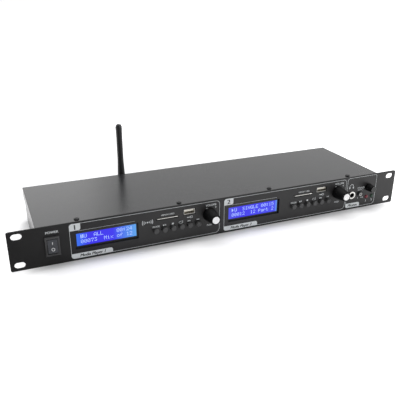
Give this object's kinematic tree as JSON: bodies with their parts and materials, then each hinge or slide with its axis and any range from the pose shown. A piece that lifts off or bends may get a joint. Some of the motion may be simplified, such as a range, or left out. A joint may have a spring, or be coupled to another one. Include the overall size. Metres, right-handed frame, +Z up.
{
  "type": "dual media player",
  "caption": "Low wide rack-mount twin media player with blue displays, card and USB slots, push keys, long volume knobs, a headphone block and a short rear antenna.",
  "frame": {"origin": "centre of the four rack slots, on the rear face of the front panel", "axes": "+X to the right seen from the front, +Y towards the rear, +Z up"},
  "size_m": [0.4826, 0.1585, 0.106],
  "materials": {
    "panel_paint": "satin black powder coat",
    "case_paint": "satin black paint, fine texture",
    "black_screw": "blackened zinc",
    "zinc_steel": "zinc plated",
    "bright_nickel": "nickel plated",
    "phono_nickel": "nickel plated, with coloured collars",
    "gold_brass": "gold plated",
    "switch_plastic": "black moulded",
    "rocker_plastic": "black moulded, with ON and OFF marks",
    "key_plastic": "matte moulded",
    "pale_key": "silver grey moulded",
    "knob_plastic": "soft satin moulded",
    "knob_cap": "spun bright",
    "display_steel": "black oxide",
    "display_glass": "blue, lit from behind",
    "tongue_plastic": "white moulded",
    "green_board": "circuit board lacquer",
    "red_lamp": "diffused red, unlit",
    "green_lamp": "diffused green, unlit",
    "inlet_plastic": "black moulded, bright prongs",
    "antenna_plastic": "satin black moulded"
  },
  "bodies": {
    "root": {"front_panel": "panel_paint", "chassis_tray": "case_paint", "top_cover": "case_paint", "front_rail": "case_paint", "rear_wall": "case_paint", "cover_screws": "black_screw", "front_nuts": "bright_nickel", "panel_studs": "zinc_steel", "switch_housing": "switch_plastic", "phones_socket": "bright_nickel", "level_control": "zinc_steel", "phones_board": "green_board", "audio_board": "green_board", "power_board": "green_board", "mains_inlet": "inlet_plastic", "phono_sockets": "phono_nickel", "antenna_socket": "gold_brass", "antenna_nut": "gold_brass", "lamp_1": "red_lamp", "lamp_2": "green_lamp", "display_bezel_1": "display_steel", "display_glass_1": "display_glass", "display_board_1": "green_board", "card_socket_1": "zinc_steel", "usb_shell_1": "bright_nickel", "usb_tongue_1": "tongue_plastic", "control_board_1": "green_board", "volume_encoder_1": "zinc_steel", "display_bezel_2": "display_steel", "display_glass_2": "display_glass", "display_board_2": "green_board", "card_socket_2": "zinc_steel", "usb_shell_2": "bright_nickel", "usb_tongue_2": "tongue_plastic", "control_board_2": "green_board", "volume_encoder_2": "zinc_steel"},
    "rocker": {"switch_rocker": "rocker_plastic"},
    "key_mode_1": {"key_mode_1": "key_plastic"},
    "key_play_1": {"key_play_1": "key_plastic"},
    "key_stop_1": {"key_stop_1": "key_plastic"},
    "key_repeat_1": {"key_repeat_1": "key_plastic"},
    "key_previous_1": {"key_previous_1": "key_plastic"},
    "key_next_1": {"key_next_1": "key_plastic"},
    "key_mode_2": {"key_mode_2": "key_plastic"},
    "key_play_2": {"key_play_2": "key_plastic"},
    "key_stop_2": {"key_stop_2": "key_plastic"},
    "key_repeat_2": {"key_repeat_2": "key_plastic"},
    "key_previous_2": {"key_previous_2": "key_plastic"},
    "key_next_2": {"key_next_2": "key_plastic"},
    "select": {"select_button": "pale_key"},
    "volume_1": {"volume_shaft_1": "zinc_steel", "volume_knob_1": "knob_plastic", "volume_cap_1": "knob_cap"},
    "volume_2": {"volume_shaft_2": "zinc_steel", "volume_knob_2": "knob_plastic", "volume_cap_2": "knob_cap"},
    "level": {"level_shaft": "zinc_steel", "level_knob": "knob_plastic"},
    "antenna_swivel": {"antenna_base": "antenna_plastic"},
    "antenna_rod": {"antenna_whip": "antenna_plastic"}
  },
  "joints": [
    {"name": "power_rocker", "type": "hinge", "parent": "root", "child": "rocker", "pos_m": [-0.1982, -0.001, 0], "axis": [1, 0, 0], "range_deg": [0, 22]},
    {"name": "press_key_mode_1", "type": "slide", "parent": "root", "child": "key_mode_1", "axis": [0, 1, 0], "range_m": [0, 0.0005], "stiffness_N_per_m": 1500, "springref_m": -0.0005},
    {"name": "press_key_play_1", "type": "slide", "parent": "root", "child": "key_play_1", "axis": [0, 1, 0], "range_m": [0, 0.0005], "stiffness_N_per_m": 1500, "springref_m": -0.0005},
    {"name": "press_key_stop_1", "type": "slide", "parent": "root", "child": "key_stop_1", "axis": [0, 1, 0], "range_m": [0, 0.0005], "stiffness_N_per_m": 1500, "springref_m": -0.0005},
    {"name": "press_key_repeat_1", "type": "slide", "parent": "root", "child": "key_repeat_1", "axis": [0, 1, 0], "range_m": [0, 0.0005], "stiffness_N_per_m": 1500, "springref_m": -0.0005},
    {"name": "press_key_previous_1", "type": "slide", "parent": "root", "child": "key_previous_1", "axis": [0, 1, 0], "range_m": [0, 0.0005], "stiffness_N_per_m": 1500, "springref_m": -0.0005},
    {"name": "press_key_next_1", "type": "slide", "parent": "root", "child": "key_next_1", "axis": [0, 1, 0], "range_m": [0, 0.0005], "stiffness_N_per_m": 1500, "springref_m": -0.0005},
    {"name": "press_key_mode_2", "type": "slide", "parent": "root", "child": "key_mode_2", "axis": [0, 1, 0], "range_m": [0, 0.0005], "stiffness_N_per_m": 1500, "springref_m": -0.0005},
    {"name": "press_key_play_2", "type": "slide", "parent": "root", "child": "key_play_2", "axis": [0, 1, 0], "range_m": [0, 0.0005], "stiffness_N_per_m": 1500, "springref_m": -0.0005},
    {"name": "press_key_stop_2", "type": "slide", "parent": "root", "child": "key_stop_2", "axis": [0, 1, 0], "range_m": [0, 0.0005], "stiffness_N_per_m": 1500, "springref_m": -0.0005},
    {"name": "press_key_repeat_2", "type": "slide", "parent": "root", "child": "key_repeat_2", "axis": [0, 1, 0], "range_m": [0, 0.0005], "stiffness_N_per_m": 1500, "springref_m": -0.0005},
    {"name": "press_key_previous_2", "type": "slide", "parent": "root", "child": "key_previous_2", "axis": [0, 1, 0], "range_m": [0, 0.0005], "stiffness_N_per_m": 1500, "springref_m": -0.0005},
    {"name": "press_key_next_2", "type": "slide", "parent": "root", "child": "key_next_2", "axis": [0, 1, 0], "range_m": [0, 0.0005], "stiffness_N_per_m": 1500, "springref_m": -0.0005},
    {"name": "press_select", "type": "slide", "parent": "root", "child": "select", "axis": [0, 1, 0], "range_m": [0, 0.0005], "stiffness_N_per_m": 1500, "springref_m": -0.0005},
    {"name": "turn_volume_1", "type": "hinge", "parent": "root", "child": "volume_1", "pos_m": [-0.0234, -0.002, 0.0055], "axis": [0, 1, 0], "continuous": true},
    {"name": "turn_volume_2", "type": "hinge", "parent": "root", "child": "volume_2", "pos_m": [0.1518, -0.002, 0.0055], "axis": [0, 1, 0], "continuous": true},
    {"name": "turn_level", "type": "hinge", "parent": "root", "child": "level", "pos_m": [0.199, -0.002, 0.0055], "axis": [0, 1, 0], "range_deg": [-150, 150]},
    {"name": "antenna_turn", "type": "hinge", "parent": "root", "child": "antenna_swivel", "pos_m": [-0.089, 0.1329, 0], "axis": [0, 1, 0], "range_deg": [-90, 90]},
    {"name": "antenna_tilt", "type": "hinge", "parent": "antenna_swivel", "child": "antenna_rod", "pos_m": [-0.089, 0.1329, 0], "axis": [-1, 0, 0], "range_deg": [0, 90]}
  ]
}
